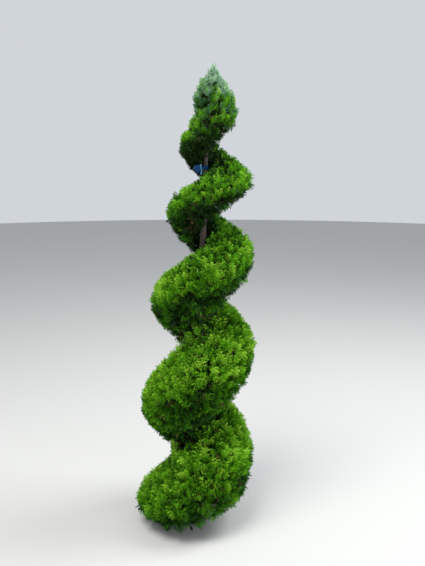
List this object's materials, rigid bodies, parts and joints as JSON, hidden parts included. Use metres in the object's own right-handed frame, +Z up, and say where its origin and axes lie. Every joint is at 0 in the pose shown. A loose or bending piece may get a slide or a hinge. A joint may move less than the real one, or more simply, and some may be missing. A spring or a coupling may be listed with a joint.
{
  "type": "spiral topiary conifer",
  "caption": "Evergreen conifer clipped into a tall pointed spiral: one ramp of dense fine foliage climbs a leaning trunk, bare trunk shows in the grooves.",
  "frame": {"origin": "middle of the trunk's flat cut foot, at ground level, which is the mount ground", "axes": "+Z up along the height; -Y is the front that the picture shows; +X to the right"},
  "size_m": [0.5204, 0.4907, 1.925],
  "materials": {
    "bark": "rough, fibrous bark",
    "foliage": "matt flat scale-leaf sprays, yellow-green tips over darker green",
    "tie": "satin blue plastic"
  },
  "bodies": {
    "root": {"trunk": "bark", "bough_01": "bark", "bough_02": "bark", "bough_03": "bark", "bough_04": "bark", "bough_05": "bark", "bough_06": "bark", "bough_07": "bark", "bough_08": "bark", "bough_09": "bark", "bough_10": "bark", "bough_11": "bark", "bough_12": "bark", "bough_13": "bark", "bough_14": "bark", "foliage_01": "foliage", "foliage_02": "foliage", "foliage_03": "foliage", "foliage_04": "foliage", "foliage_05": "foliage", "foliage_06": "foliage", "foliage_07": "foliage", "foliage_08": "foliage", "foliage_09": "foliage", "foliage_10": "foliage", "foliage_11": "foliage", "foliage_12": "foliage", "foliage_13": "foliage", "foliage_14": "foliage", "foliage_top": "foliage", "tree_tie": "tie"}
  },
  "joints": []
}
